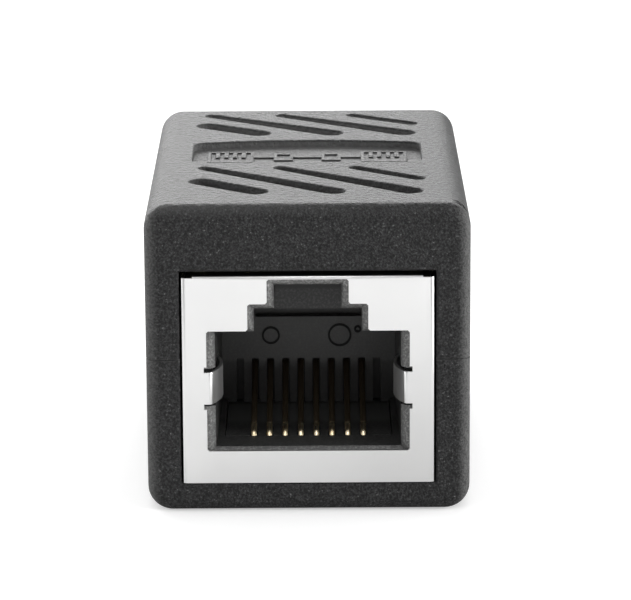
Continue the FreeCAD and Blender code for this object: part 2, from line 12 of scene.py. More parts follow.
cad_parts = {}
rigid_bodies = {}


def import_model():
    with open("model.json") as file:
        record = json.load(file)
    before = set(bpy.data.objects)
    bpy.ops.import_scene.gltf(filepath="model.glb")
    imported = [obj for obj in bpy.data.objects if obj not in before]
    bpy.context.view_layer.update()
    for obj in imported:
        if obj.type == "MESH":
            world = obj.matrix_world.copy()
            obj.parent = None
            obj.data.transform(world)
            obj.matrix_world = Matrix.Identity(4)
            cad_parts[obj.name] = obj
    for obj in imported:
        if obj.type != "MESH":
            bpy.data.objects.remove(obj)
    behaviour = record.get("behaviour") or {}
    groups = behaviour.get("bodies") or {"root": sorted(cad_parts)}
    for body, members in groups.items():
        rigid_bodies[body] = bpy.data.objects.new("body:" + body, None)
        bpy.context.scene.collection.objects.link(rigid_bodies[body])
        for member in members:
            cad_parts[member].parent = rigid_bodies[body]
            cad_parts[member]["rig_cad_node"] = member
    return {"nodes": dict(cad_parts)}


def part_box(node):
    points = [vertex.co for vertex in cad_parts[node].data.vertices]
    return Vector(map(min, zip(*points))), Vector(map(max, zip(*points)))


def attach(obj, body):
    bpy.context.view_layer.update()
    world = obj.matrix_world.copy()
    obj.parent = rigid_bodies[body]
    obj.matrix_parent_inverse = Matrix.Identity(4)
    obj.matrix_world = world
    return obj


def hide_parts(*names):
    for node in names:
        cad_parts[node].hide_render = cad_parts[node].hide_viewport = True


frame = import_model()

MM = 0.001
TOUCHING = 0.001 * MM
LOG = logging.getLogger("coupler")
Number = int | float
Colour = tuple[float, float, float]
Point = tuple[float, float, float]
Pair = tuple[float, float]
Mesh = bmesh.types.BMesh
Face = bmesh.types.BMFace
Vert = bmesh.types.BMVert
Piece = bpy.types.Object


# ------------------------------------------------------------------ shader expressions
class Signal:
    """A socket of a shader graph on which Python's operators add Math nodes."""

    def __init__(self, graph: "ShaderGraph", socket: bpy.types.NodeSocket) -> None:
        """Wraps one output socket.

        Args:
            graph: The graph that the socket belongs to.
            socket: The output socket.
        """
        self.graph = graph
        self.socket = socket

    def _math(self, operation: str, *values: "Signal | Number") -> "Signal":
        """Adds a Math node to this signal's graph."""
        inputs = dict(enumerate(values))
        return self.graph.add("ShaderNodeMath", {"operation": operation}, inputs).out("Value")

    def __add__(self, other: "Signal | Number") -> "Signal":
        """This plus another."""
        return self._math("ADD", self, other)

    def __radd__(self, other: Number) -> "Signal":
        """A number plus this."""
        return self._math("ADD", other, self)

    def __sub__(self, other: "Signal | Number") -> "Signal":
        """This minus another."""
        return self._math("SUBTRACT", self, other)

    def __rsub__(self, other: Number) -> "Signal":
        """A number minus this."""
        return self._math("SUBTRACT", other, self)

    def __mul__(self, other: "Signal | Number") -> "Signal":
        """This times another."""
        return self._math("MULTIPLY", self, other)

    def __rmul__(self, other: Number) -> "Signal":
        """A number times this."""
        return self._math("MULTIPLY", other, self)

    def __truediv__(self, other: "Signal | Number") -> "Signal":
        """This over another."""
        return self._math("DIVIDE", self, other)

    def __rtruediv__(self, other: Number) -> "Signal":
        """A number over this."""
        return self._math("DIVIDE", other, self)

    def __abs__(self) -> "Signal":
        """The size of this without its sign."""
        return self._math("ABSOLUTE", self)

    def within(self, low: Number, high: Number) -> "Signal":
        """Maps low..high to 0..1 along a smooth curve, and holds it outside.

        Args:
            low: The value that becomes 0.
            high: The value that becomes 1.

        Returns:
            The mapped signal.
        """
        node = self.graph.add("ShaderNodeMapRange", {"interpolation_type": "SMOOTHSTEP"},
                              {"Value": self, "From Min": low, "From Max": high})
        return node.out("Result")

    def short_of(self, low: Number, high: Number) -> "Signal":
        """One up to a low value, falling smoothly to zero at a high one."""
        return 1 - self.within(low, high)

    def atop(self, base: Number, share: Number) -> "Signal":
        """A share of this on top of a base."""
        return base + share * self


@dataclass
class Step:
    """A node that has been added to a graph, with its outputs as signals."""

    graph: "ShaderGraph"
    node: bpy.types.Node

    def out(self, name: str | int) -> Signal:
        """One output of the node."""
        return Signal(self.graph, self.node.outputs[name])


class ShaderGraph:
    """The nodes of one material or world."""

    def __init__(self, owner: bpy.types.Material | bpy.types.World) -> None:
        """Starts an empty graph.

        Args:
            owner: The material or world whose nodes are made.
        """
        owner.use_nodes = True
        self.tree = owner.node_tree
        self.tree.nodes.clear()

    def add(self, kind: str, settings: dict | None = None, inputs: dict | None = None) -> Step:
        """Adds one node.

        Args:
            kind: The node's type.
            settings: Its properties, which are set before its sockets.
            inputs: What its sockets get: a signal to link, or a value.

        Returns:
            The node with its outputs.
        """
        node = self.tree.nodes.new(kind)
        for name, value in (settings or {}).items():
            setattr(node, name, value)
        for name, value in (inputs or {}).items():
            socket = node.inputs[name]
            if isinstance(value, Signal):
                self.tree.links.new(value.socket, socket)
            else:
                socket.default_value = value
        return Step(self, node)

    def place(self) -> Signal:
        """Object coordinates, which are metres in the coupler's own frame."""
        return self.add("ShaderNodeTexCoord").out("Object")

    def split(self, vector: Signal) -> tuple[Signal, Signal, Signal]:
        """A vector's X, Y and Z, each by itself."""
        parts = self.add("ShaderNodeSeparateXYZ", inputs={0: vector})
        return parts.out("X"), parts.out("Y"), parts.out("Z")

    def axes(self) -> tuple[Signal, Signal, Signal]:
        """The three Object coordinates, each by itself."""
        return self.split(self.place())

    def grain(self, size: float, detail: float = 2.0, roughness: float = 0.5,
              stretch: Point = (1.0, 1.0, 1.0)) -> Signal:
        """Noise whose grains have a given size.

        Args:
            size: Size of one grain, in metres.
            detail: Octaves of finer noise.
            roughness: How much the finer octaves count.
            stretch: Scale along each axis, below 1 for grains drawn out along it.

        Returns:
            A signal about 0.5.
        """
        where = self.add("ShaderNodeMapping", inputs={"Vector": self.place(), "Scale": stretch})
        node = self.add("ShaderNodeTexNoise", inputs={
            "Vector": where.out("Vector"), "Scale": 1.0 / size, "Detail": detail,
            "Roughness": roughness})
        return node.out("Fac")

    def blend(self, mask: Signal, low: Colour | Signal, high: Colour | Signal) -> Signal:
        """Mixes two colours.

        Args:
            mask: Zero for the first, one for the second.
            low: The first colour.
            high: The second colour.

        Returns:
            The mixed colour.
        """
        first, second = (colour if isinstance(colour, Signal) else (*colour, 1.0)
                         for colour in (low, high))
        node = self.add("ShaderNodeMix", {"data_type": "RGBA"}, {0: mask, 6: first, 7: second})
        return node.out(2)

    def bump(self, height: Signal, depth: float) -> Signal:
        """A surface normal from a height.

        Args:
            height: The height, about 0 to 1.
            depth: What a height of 1 stands for, in metres.

        Returns:
            The normal.
        """
        return self.add("ShaderNodeBump", inputs={"Height": height, "Distance": depth,
                                                  "Strength": 1.0}).out("Normal")

    def surface(self, **values: Signal | Number | Colour) -> None:
        """Ends a material with its Principled shader.

        Args:
            **values: The shader's sockets by name, with underscores for spaces.
        """
        inputs = {}
        for name, value in values.items():
            is_colour = isinstance(value, tuple) and len(value) == 3
            inputs[name.replace("_", " ")] = (*value, 1.0) if is_colour else value
        shader = self.add("ShaderNodeBsdfPrincipled", inputs=inputs)
        self.add("ShaderNodeOutputMaterial", inputs={"Surface": shader.out("BSDF")})


# ------------------------------------------------------------------ finishes
class Finish:
    """A material that can be put on several pieces.

    A field that ends in band is the two values between which a mask rises from 0 to 1. One
    that ends in mix is a base, and the share of a pattern that goes on top of it.
    """

    label: str = "finish"
    slot: str = ""

    def paint(self, graph: ShaderGraph) -> None:
        """Builds the finish's nodes.

        Args:
            graph: The material's empty graph.
        """
        raise NotImplementedError

    def material(self) -> bpy.types.Material:
        """Makes the finish's material at its first use.

        Returns:
            The material.
        """
        known = bpy.data.materials.get(self.label)
        if known is None:
            known = bpy.data.materials.new(self.label)
            self.paint(ShaderGraph(known))
        return known

    def dress(self, piece: Piece) -> None:
        """Puts the finish on a piece.

        Args:
            piece: A CAD node or a piece of this script.
        """
        piece.data.materials.clear()
        piece.data.materials.append(self.material())


@dataclass(frozen=True)
class SparkedPlastic(Finish):
    """Black plastic from a spark-eroded mould: a fine frosted grain with paler crests."""

    label: str = "sparked_black_plastic"
    slot: str = "housing_plastic"
    hollow: Colour = (0.002, 0.002, 0.0021)
    crest: Colour = (0.042, 0.042, 0.043)
    speck: Colour = (0.24, 0.24, 0.238)
    # Pale dust in the sunk relief of the roof, and painted light along the seam of the shells.
    dust_and_painted_light: Colour = (0.15, 0.15, 0.148)
    # Painted sheen: the roof's left and the upright edges are made paler where light falls on
    # them.
    painted_sheen: Colour = (0.085, 0.085, 0.084)
    scarred: Colour = (0.002, 0.002, 0.002)
    grain_size: float = 0.14 * MM
    swell_size: float = 0.36 * MM
    grain_depth: float = 0.11 * MM
    crest_band: Pair = (0.36, 0.70)
    crest_mix: Pair = (0.55, 0.9)
    speck_band: Pair = (0.66, 0.74)
    grain_height: float = 0.8
    swell_height: float = 0.9
    roughness: float = 0.48
    grain_roughness: float = 0.16
    swell_gloss: float = 0.06
    scar_roughness: float = 0.5
    specular: float = 0.30
    half_width: float = 10.35 * MM
    roof_band: Pair = (19.3 * MM, 20.2 * MM)
    roof_relief: float = 0.8
    roof_sheen_share: float = 0.8
    roof_sheen_mix: Pair = (0.5, 0.5)
    edge_band_across: Pair = (9.4 * MM, 10.2 * MM)
    edge_band_along: Pair = (14.2 * MM, 14.55 * MM)
    edge_mix: Pair = (0.5, 0.8)
    sunk_band: Pair = (0.06 * MM, 0.20 * MM)
    pocket_band: Pair = (0.55 * MM, 0.60 * MM)
    relief_band_across: Pair = (8.6 * MM, 8.8 * MM)
    relief_band_along: Pair = (13.4 * MM, 13.6 * MM)
    dust_band: Pair = (-4.0 * MM, 11.0 * MM)
    dust_mix: Pair = (0.30, 0.65)
    dust_grain_mix: Pair = (0.6, 0.4)
    seam: float = 10.1 * MM
    seam_band: Pair = (0.05 * MM, 0.10 * MM)
    seam_mix: Pair = (0.12, 0.25)
    nick: Point = (9.75 * MM, -13.6 * MM, 19.8 * MM)
    nick_reach: Point = (0.6 * MM, 0.6 * MM, 0.8 * MM)
    nick_band: Pair = (0.15, 1.0)
    nick_grain: float = 0.3 * MM
    nick_grain_band: Pair = (0.40, 0.58)
    nick_depth: float = 5.0

    def dust(self, x: Signal, y: Signal, z: Signal) -> Signal:
        """Finds the sunk relief of the roof, where dust settles, most of all to the rear.

        Args:
            x: Place across the coupler.
            y: Place along the coupler.
            z: Height.

        Returns:
            A mask.
        """
        depth = self.roof_band[1] - z
        sunk = depth.within(*self.sunk_band) * depth.short_of(*self.pocket_band)
        in_relief = (abs(x).short_of(*self.relief_band_across)
                     * abs(y).short_of(*self.relief_band_along))
        return sunk * in_relief * y.within(*self.dust_band).atop(*self.dust_mix)

    def edges(self, x: Signal, y: Signal) -> Signal:
        """Finds the four upright edges, where a sheen is painted pale."""
        return abs(x).within(*self.edge_band_across) * abs(y).within(*self.edge_band_along)

    def scar(self, graph: ShaderGraph, axes: tuple[Signal, Signal, Signal]) -> Signal:
        """Finds the one nick that wear left at a corner of the roof.

        Args:
            graph: The material's graph.
            axes: The three Object coordinates.

        Returns:
            A mask with a ragged edge.
        """
        across, along, up = ((axis - middle) / reach for axis, middle, reach
                             in zip(axes, self.nick, self.nick_reach))
        spread = across * across + along * along + up * up
        ragged = graph.grain(self.nick_grain, detail=3.0).within(*self.nick_grain_band)
        return spread.short_of(*self.nick_band) * ragged

    def paint(self, graph: ShaderGraph) -> None:
        """Builds the grain with its crests and specks, painted sheen on the roof's left and
        upright edges, dust, dust and painted light on the seam, and the nick.

        Args:
            graph: The material's empty graph.
        """
        fine = graph.grain(self.grain_size, detail=3.0, roughness=0.7, stretch=(1.0, 0.6, 1.0))
        swell = graph.grain(self.swell_size, detail=1.0)
        crests = fine.within(*self.crest_band) * swell.atop(*self.crest_mix)
        x, y, z = graph.axes()
        on_roof = z.within(*self.roof_band)
        to_left = 0.5 - x / (2.0 * self.half_width)
        # Painted sheen: the roof is made paler towards its left, where light falls brighter.
        painted_roof_sheen = on_roof * to_left * swell.atop(*self.roof_sheen_mix)
        # Dust and painted light: a paler hairline along the seam, whose groove lies in shade.
        hairline = abs(z - self.seam).short_of(*self.seam_band)
        scar = self.scar(graph, (x, y, z))
        colour = graph.blend(crests, self.hollow, self.crest)
        for mask, layer in ((fine.within(*self.speck_band), self.speck),
                            # painted sheen on the roof's left
                            (painted_roof_sheen * self.roof_sheen_share, self.painted_sheen),
                            (self.dust(x, y, z) * fine.atop(*self.dust_grain_mix), self.dust_and_painted_light),
                            # painted sheen on the four upright edges
                            (self.edges(x, y) * crests.atop(*self.edge_mix), self.painted_sheen),
                            # dust and painted light along the seam
                            (hairline * swell.atop(*self.seam_mix), self.dust_and_painted_light),
                            (scar, self.scarred)):
            colour = graph.blend(mask, colour, layer)
        height = fine * self.grain_height + swell * self.swell_height
        height = height * on_roof.atop(1, self.roof_relief)
        graph.surface(
            Base_Color=colour,
            Roughness=(self.roughness + self.grain_roughness * fine
                       - self.swell_gloss * swell + self.scar_roughness * scar),
            Specular_IOR_Level=self.specular,
            Normal=graph.bump(height - scar * self.nick_depth, self.grain_depth),
        )


@dataclass(frozen=True)
class SmoothPlastic(Finish):
    """Dark grey glass-filled plastic, with a painted highlight at its mouth, painted light at
    the rear of its cavity and painted shade over the latch and in the comb.
    """

    label: str = "smooth_black_plastic"
    slot: str = "insulator_plastic"
    pigment: Colour = (0.024, 0.024, 0.0237)
    fibre: Colour = (0.070, 0.070, 0.069)
    # Painted light: the rear of the cavity is made paler than its pigment.
    dust_and_painted_light: Colour = (0.10, 0.10, 0.098)
    # Painted highlight on the lead-in of the mouth.
    painted_sheen: Colour = (0.25, 0.25, 0.246)
    # Painted highlight on the rim over the latch.
    painted_latch_highlight: Colour = (0.38, 0.38, 0.374)
    # Painted shade over the latch and in the comb of the contacts.
    shade: Colour = (0.006, 0.006, 0.006)
    flow_size: float = 1.4 * MM
    fibre_size: float = 0.16 * MM
    fibre_band: Pair = (0.42, 0.70)
    fibre_height: float = 0.6
    flow_height: float = 0.8
    mouth_band: Pair = (14.25 * MM, 14.65 * MM)
    mouth_mix: Pair = (0.35, 0.65)
    sill_band: Pair = (4.2 * MM, 4.6 * MM)
    sill_mix: Pair = (0.6, 0.4)
    rim_band: Pair = (14.85 * MM, 14.90 * MM)
    latch_band_along: Pair = (8.85 * MM, 8.90 * MM)
    latch_band_up: Pair = (13.05 * MM, 13.30 * MM)
    deep_band: Pair = (7.3 * MM, 8.6 * MM)
    deep_mix: Pair = (0.5, 0.3)
    comb_band_along: Pair = (3.8 * MM, 3.9 * MM)
    comb_band_up: Pair = (6.6 * MM, 7.0 * MM)
    slot_band: Pair = (3.1 * MM, 3.3 * MM)
    slot_mix: Pair = (0.50, 0.45)
    roughness: float = 0.30
    flow_roughness: float = 0.16
    fibre_roughness: float = 0.10
    specular: float = 0.5
    relief: float = 0.012 * MM

    def mouth(self, along: Signal, height: Signal) -> Signal:
        """Finds the lead-in of the mouth, which gets a painted highlight, less so on its sill.

        Args:
            along: Distance from the coupler's middle.
            height: Height.

        Returns:
            A mask.
        """
        above_sill = height.within(*self.sill_band)
        return along.within(*self.mouth_band) * above_sill.atop(*self.sill_mix)

    def dim(self, along: Signal, height: Signal) -> Signal:
        """Finds where shade is painted: over the latch, and in the comb of the contacts.

        Args:
            along: Distance from the coupler's middle.
            height: Height.

        Returns:
            A mask.
        """
        over_latch = along.short_of(*self.latch_band_along) * height.within(*self.latch_band_up)
        comb = along.short_of(*self.comb_band_along) * height.short_of(*self.comb_band_up)
        return over_latch + comb * along.short_of(*self.slot_band).atop(*self.slot_mix)

    def paint(self, graph: ShaderGraph) -> None:
        """Builds the flow marks and fibres, painted light at the cavity's rear, painted shade
        over the latch and in the comb, and a painted highlight at the mouth.

        Args:
            graph: The material's empty graph.
        """
        flow = graph.grain(self.flow_size, detail=3.0, stretch=(1.0, 0.35, 1.0))
        specks = graph.grain(self.fibre_size, detail=2.0, roughness=0.65)
        fibres = specks.within(*self.fibre_band)
        _, y, height = graph.axes()
        along = abs(y)
        deep = along.short_of(*self.deep_band)
        colour = graph.blend(fibres, self.pigment, self.fibre)
        # Painted light: the rear of the cavity is made paler.
        colour = graph.blend(deep * flow.atop(*self.deep_mix), colour, self.dust_and_painted_light)
        # Painted shade over the latch and in the comb.
        colour = graph.blend(self.dim(along, height), colour, self.shade)
        # Painted highlight, brightest on the rim over the latch.
        painted_sheen = graph.blend(height.within(*self.rim_band), self.painted_sheen, self.painted_latch_highlight)
        # Painted highlight on the lead-in of the mouth.
        wear_and_painted_light = self.mouth(along, height) * fibres.atop(*self.mouth_mix)
        graph.surface(
            Base_Color=graph.blend(wear_and_painted_light, colour, painted_sheen),
            Roughness=(self.roughness + self.flow_roughness * flow
                       + self.fibre_roughness * specks),
            Specular_IOR_Level=self.specular,
            Normal=graph.bump(specks * self.fibre_height + flow * self.flow_height,
                              self.relief),
        )


@dataclass(frozen=True)
class PlatedSteel(Finish):
    """Thin steel with bright nickel plating, rolled to a faint sheen."""

    label: str = "nickel_plated_steel"
    slot: str = "shield_metal"
    plate: Colour = (0.99, 0.99, 0.985)
    haze: Colour = (0.95, 0.95, 0.945)
    # Painted shade towards the bottom and the right of the face plate.
    dullness_and_painted_shade: Colour = (0.80, 0.80, 0.795)
    # Painted shade in the gap above the top fold, and on the fingers.
    seam: Colour = (0.05, 0.05, 0.05)
    rolled_size: float = 0.35 * MM
    mottle_size: float = 2.6 * MM
    mark_size: float = 0.10 * MM
    mark_band: Pair = (0.66, 0.78)
    mottle_haze: float = 0.5
    mark_haze: float = 0.25
    rolled_height: float = 0.5
    mottle_height: float = 0.5
    face_band: Pair = (14.8 * MM, 14.9 * MM)
    seam_band: Pair = (15.4 * MM, 15.5 * MM)
    window_band: Pair = (6.3 * MM, 6.6 * MM)
    height_band: Pair = (1.9 * MM, 15.6 * MM)
    side_band: Pair = (0.0, 8.0 * MM)
    side_mix: Pair = (0.60, 0.50)
    painted_shade_mix: Pair = (0.85, 0.3)
    roughness: float = 0.24
    mottle_roughness: float = 0.10
    rolled_roughness: float = 0.05
    mark_roughness: float = 0.08
    finger_roughness: float = 0.14
    finger_shade: float = 0.35
    relief: float = 0.0016 * MM

    def paint(self, graph: ShaderGraph) -> None:
        """Builds the rolling lines, mottle and handling marks, with painted shade towards the
        bottom and the right, in the gap above the top fold and on the fingers.

        Args:
            graph: The material's empty graph.
        """
        rolled = graph.grain(self.rolled_size, detail=3.0, stretch=(1.0, 1.0, 0.08))
        mottle = graph.grain(self.mottle_size, detail=2.0)
        marks = graph.grain(self.mark_size, detail=1.0,
                            stretch=(0.1, 1.0, 1.4)).within(*self.mark_band)
        x, y, z = graph.axes()
        behind_face = abs(y).short_of(*self.face_band)
        # Painted shade in the gap above the top fold.
        seam = behind_face * z.within(*self.seam_band)
        # Painted shade on the spring fingers.
        finger = behind_face * abs(x).short_of(*self.window_band)
        # Painted shade: darker towards the bottom and the right.
        wear_and_painted_light = z.short_of(*self.height_band) * x.within(*self.side_band).atop(*self.side_mix)
        hazy = mottle * self.mottle_haze + marks * self.mark_haze
        colour = graph.blend(hazy, self.plate, self.haze)
        colour = graph.blend(wear_and_painted_light * mottle.atop(*self.painted_shade_mix), colour, self.dullness_and_painted_shade)
        graph.surface(
            Base_Color=graph.blend(seam + self.finger_shade * finger, colour, self.seam),
            Metallic=1.0,
            Roughness=(self.roughness + self.mottle_roughness * mottle
                       + self.rolled_roughness * rolled + self.mark_roughness * marks
                       + self.finger_roughness * finger),
            Normal=graph.bump(rolled * self.rolled_height + mottle * self.mottle_height,
                              self.relief),
        )


@dataclass(frozen=True)
class GoldPlating(Finish):
    """Bright gold over nickel at the tips of the spring contacts, and bare bronze behind,
    darkened as painted shade.
    """

    label: str = "gold_plating"
    slot: str = "contact_gold"
    gold: Colour = (1.0, 0.86, 0.60)
    wear_and_painted_light: Colour = (0.93, 0.74, 0.46)
    # Bare bronze past the plating, darkened as painted shade.
    bronze: Colour = (0.13, 0.10, 0.066)
    drawn_size: float = 0.05 * MM
    tarnish_size: float = 0.8 * MM
    tarnish_band: Pair = (0.35, 0.75)
    plated_band: Pair = (10.8 * MM, 11.2 * MM)
    ragged: float = 0.3 * MM
    roughness: float = 0.21
    tarnish_roughness: float = 0.12
    drawn_roughness: float = 0.06
    bronze_roughness: float = 0.30
    relief: float = 0.0012 * MM

    def paint(self, graph: ShaderGraph) -> None:
        """Builds the drawing lines, a faint tarnish and the plating that ends past the hook,
        with painted shade on the bronze behind it.

        Args:
            graph: The material's empty graph.
        """
        drawn = graph.grain(self.drawn_size, detail=2.0, stretch=(1.0, 0.06, 0.06))
        tarnish = graph.grain(self.tarnish_size, detail=2.0)
        _, y, _ = graph.axes()
        plated = (abs(y) + tarnish * self.ragged).within(*self.plated_band)
        gold = graph.blend(tarnish.within(*self.tarnish_band), self.gold, self.wear_and_painted_light)
        graph.surface(
            # Painted shade: the bare bronze behind the plating is very dark.
            Base_Color=graph.blend(plated, self.bronze, gold),
            Metallic=1.0,
            Roughness=(self.roughness + self.tarnish_roughness * tarnish
                       + self.drawn_roughness * drawn + self.bronze_roughness * (1 - plated)),
            Normal=graph.bump(drawn, self.relief),
        )


@dataclass(frozen=True)
class SolderMask(Finish):
    """Green lacquer over copper tracks on a glass-fibre board."""

    label: str = "green_solder_mask"
    slot: str = "board_laminate"
    lacquer: Colour = (0.006, 0.060, 0.022)
    over_copper: Colour = (0.020, 0.125, 0.042)
    edge: Colour = (0.30, 0.29, 0.16)
    track_pitch: float = 2.032 * MM
    track_band: Pair = (0.25 * MM, 0.30 * MM)
    sway_size: float = 6.0 * MM
    sway: float = 0.6 * MM
    weave_size: float = 0.25 * MM
    flat_band: Pair = (0.5, 0.8)
    track_height: float = 0.8
    weave_height: float = 0.15
    edge_roughness: float = 0.62
    lacquer_gloss: float = 0.34
    weave_roughness: float = 0.12
    relief: float = 0.03 * MM

    def paint(self, graph: ShaderGraph) -> None:
        """Builds the tracks from socket to socket, the lacquer and the sawn edge.

        Args:
            graph: The material's empty graph.
        """
        x, _, _ = graph.axes()
        sway = (graph.grain(self.sway_size, detail=0.0) - 0.5) * self.sway
        wave = graph.add("ShaderNodeMath", {"operation": "PINGPONG"},
                         {0: x + sway, 1: self.track_pitch / 2}).out("Value")
        track = wave.short_of(*self.track_band)
        _, _, facing = graph.split(graph.add("ShaderNodeNewGeometry").out("Normal"))
        flat = abs(facing).within(*self.flat_band)
        weave = graph.grain(self.weave_size, detail=2.0)
        lacquer = graph.blend(track, self.lacquer, self.over_copper)
        graph.surface(
            Base_Color=graph.blend(flat, self.edge, lacquer),
            Roughness=(self.edge_roughness - self.lacquer_gloss * flat
                       + self.weave_roughness * weave),
            Normal=graph.bump(track * self.track_height + weave * self.weave_height,
                              self.relief),
        )


@dataclass(frozen=True)
class SolderAlloy(Finish):
    """Bright solder with a slightly matt, wrinkled skin."""

    label: str = "solder_alloy"
    slot: str = "solder"
    metal: Colour = (0.78, 0.79, 0.80)
    dullness_and_painted_shade: Colour = (0.55, 0.56, 0.58)
    skin_size: float = 0.22 * MM
    skin_band: Pair = (0.35, 0.70)
    roughness: float = 0.18
    skin_roughness: float = 0.3
    relief: float = 0.012 * MM

    def paint(self, graph: ShaderGraph) -> None:
        """Builds the wrinkles of the cooled skin.

        Args:
            graph: The material's empty graph.
        """
        skin = graph.grain(self.skin_size, detail=3.0)
        graph.surface(
            Base_Color=graph.blend(skin.within(*self.skin_band), self.metal, self.dullness_and_painted_shade),
            Metallic=1.0,
            Roughness=self.roughness + self.skin_roughness * skin,
            Normal=graph.bump(skin, self.relief),
        )


# ------------------------------------------------------------------ mesh steps
def show(name: str, data: bpy.types.ID) -> Piece:
    """Puts a new object in the scene.

    Args:
        name: The object's name.
        data: Its mesh, lamp or camera.

    Returns:
        The object, at the origin.
    """
    made = bpy.data.objects.new(name, data)
    bpy.context.scene.collection.objects.link(made)
    return made


def keep(name: str, mesh: Mesh, smooth: bool = True) -> Piece:
    """Turns a bmesh into an object in the scene and frees the bmesh.

    Args:
        name: The new object's name.
        mesh: The finished mesh, in metres in the coupler's frame.
        smooth: True to shade its faces smooth.

    Returns:
        The object, at the origin.
    """
    data = bpy.data.meshes.new(name)
    for face in mesh.faces:
        face.smooth = smooth
    mesh.to_mesh(data)
    mesh.free()
    return show(name, data)


def round_edges(piece: Piece, radius: float, segments: int) -> bpy.types.Modifier:
    """Adds a Bevel modifier.

    Args:
        piece: The piece to soften.
        radius: Size of its new edges, in metres.
        segments: Steps across an edge.

    Returns:
        The modifier.
    """
    bevel = piece.modifiers.new("edge radius", "BEVEL")
    bevel.width = radius
    bevel.segments = segments
    return bevel


def extrude(mesh: Mesh, faces: list[Face], shift: Point, keep_floor: bool) -> None:
    """Extrudes flat faces and shifts the new ones.

    Args:
        mesh: The mesh that they are in.
        faces: The faces.
        shift: How far the new faces move, in metres.
        keep_floor: True to leave the old faces in place as a floor.
    """
    made = bmesh.ops.extrude_face_region(mesh, geom=faces, use_keep_orig=keep_floor)["geom"]
    moved = [item for item in made if isinstance(item, Vert)]
    bmesh.ops.translate(mesh, vec=shift, verts=moved)


def outline_of(mesh: Mesh, corners: list[Vert], stroke: float) -> list[Face]:
    """Cuts the middle out of a flat face.

    Args:
        mesh: The mesh that it is in.
        corners: The face's corners.
        stroke: Width of what is left, in metres.

    Returns:
        The faces along its outline.
    """
    middle = list(corners[0].link_faces)
    band = bmesh.ops.inset_region(mesh, faces=middle, thickness=stroke,
                                  use_boundary=True)["faces"]
    bmesh.ops.delete(mesh, geom=middle, context="FACES_ONLY")
    return band


# ------------------------------------------------------------------ pieces
class End(Enum):
    """One of the coupler's two ends."""

    FRONT = "front"
    REAR = "rear"

    @property
    def turn(self) -> Matrix:
        """The turn about Z that takes the front end to this one."""
        return Matrix.Rotation(0.0 if self is End.FRONT else math.pi, 4, "Z")


@dataclass
class RoundedNode:
    """A CAD node whose sharp edges get the small radius of the real piece."""

    node: str
    finish: Finish
    edge_radius: float
    segments: int = 2
    edge_angle: float = math.radians(35.0)
    join_distance: float = 0.0005 * MM
    flat_angle: float = math.radians(0.6)
    shading_weight: int = 100

    def shape(self, mesh: Mesh) -> None:
        """Adds what the node itself leaves out, which is nothing here."""

    def build(self) -> Piece:
        """Copies the node's mesh, joins its triangles and bevels its edges.

        Returns:
            The piece that stands for the node.
        """
        mesh = bmesh.new()
        mesh.from_mesh(frame["nodes"][self.node].data)
        bmesh.ops.remove_doubles(mesh, verts=mesh.verts, dist=self.join_distance)
        bmesh.ops.dissolve_limit(mesh, angle_limit=self.flat_angle, verts=mesh.verts,
                                 edges=mesh.edges)
        self.shape(mesh)
        piece = keep(f"{self.node}_rounded", mesh)
        bevel = round_edges(piece, self.edge_radius, self.segments)
        bevel.limit_method = "ANGLE"
        bevel.angle_limit = self.edge_angle
        even = piece.modifiers.new("even shading", "WEIGHTED_NORMAL")
        even.weight = self.shading_weight
        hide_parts(self.node)
        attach(piece, "root")
        self.finish.dress(piece)
        return piece


@dataclass
class UpperShell(RoundedNode):
    """The upper shell, whose relief on the roof has softer edges than its ports."""

    relief_inset: float = 2.0 * MM
    relief_end: float = 1.4 * MM
    relief_radius: float = 0.13 * MM
    relief_segments: int = 3
    level_within: float = 0.01 * MM

    def shape(self, mesh: Mesh) -> None:
        """Rounds the brims of the slots and of the plaque.

        Args:
            mesh: The joined copy of the node.
        """
        high = Vector(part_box(self.node)[1])
        brims = []
        for edge in mesh.edges:
            middle = (edge.verts[0].co + edge.verts[1].co) / 2
            level = all(high.z - vert.co.z < self.level_within for vert in edge.verts)
            inside = high.x - abs(middle.x) > self.relief_inset
            along = high.y - abs(middle.y) > self.relief_end
            if level and inside and along and edge.calc_face_angle(0.0) > self.edge_angle:
                brims.append(edge)
        bmesh.ops.bevel(mesh, geom=brims, offset=self.relief_radius, offset_type="OFFSET",
                        affect="EDGES", segments=self.relief_segments, profile=0.5,
                        material=-1)


@dataclass
class Shield(RoundedNode):
    """A socket's folded shield, with the crisp folds of thin sheet round its face plate."""

    fold_radius: float = 0.30 * MM
    top_share: float = 0.55
    bottom_share: float = 0.12
    web_half_width: float = 3.0 * MM

    def shape(self, mesh: Mesh) -> None:
        """Draws the face plate's upper and lower folds in towards their corners.

        Args:
            mesh: The joined copy of the node.
        """
        low, high = (Vector(corner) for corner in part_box(self.node))
        front = low.y if low.y < -high.y else high.y
        reach = self.fold_radius + TOUCHING
        plate = [vert for vert in mesh.verts if abs(vert.co.y - front) < reach]
        base = min(vert.co.z for vert in plate)
        top = max(vert.co.z for vert in plate)
        for level, share in ((base, self.bottom_share), (top, self.top_share)):
            for vert in plate:
                over_window = level == top and abs(vert.co.x) < self.web_half_width
                if abs(vert.co.z - level) < reach and not over_window:
                    vert.co.y = front + (vert.co.y - front) * share
                    vert.co.z = level + (vert.co.z - level) * share


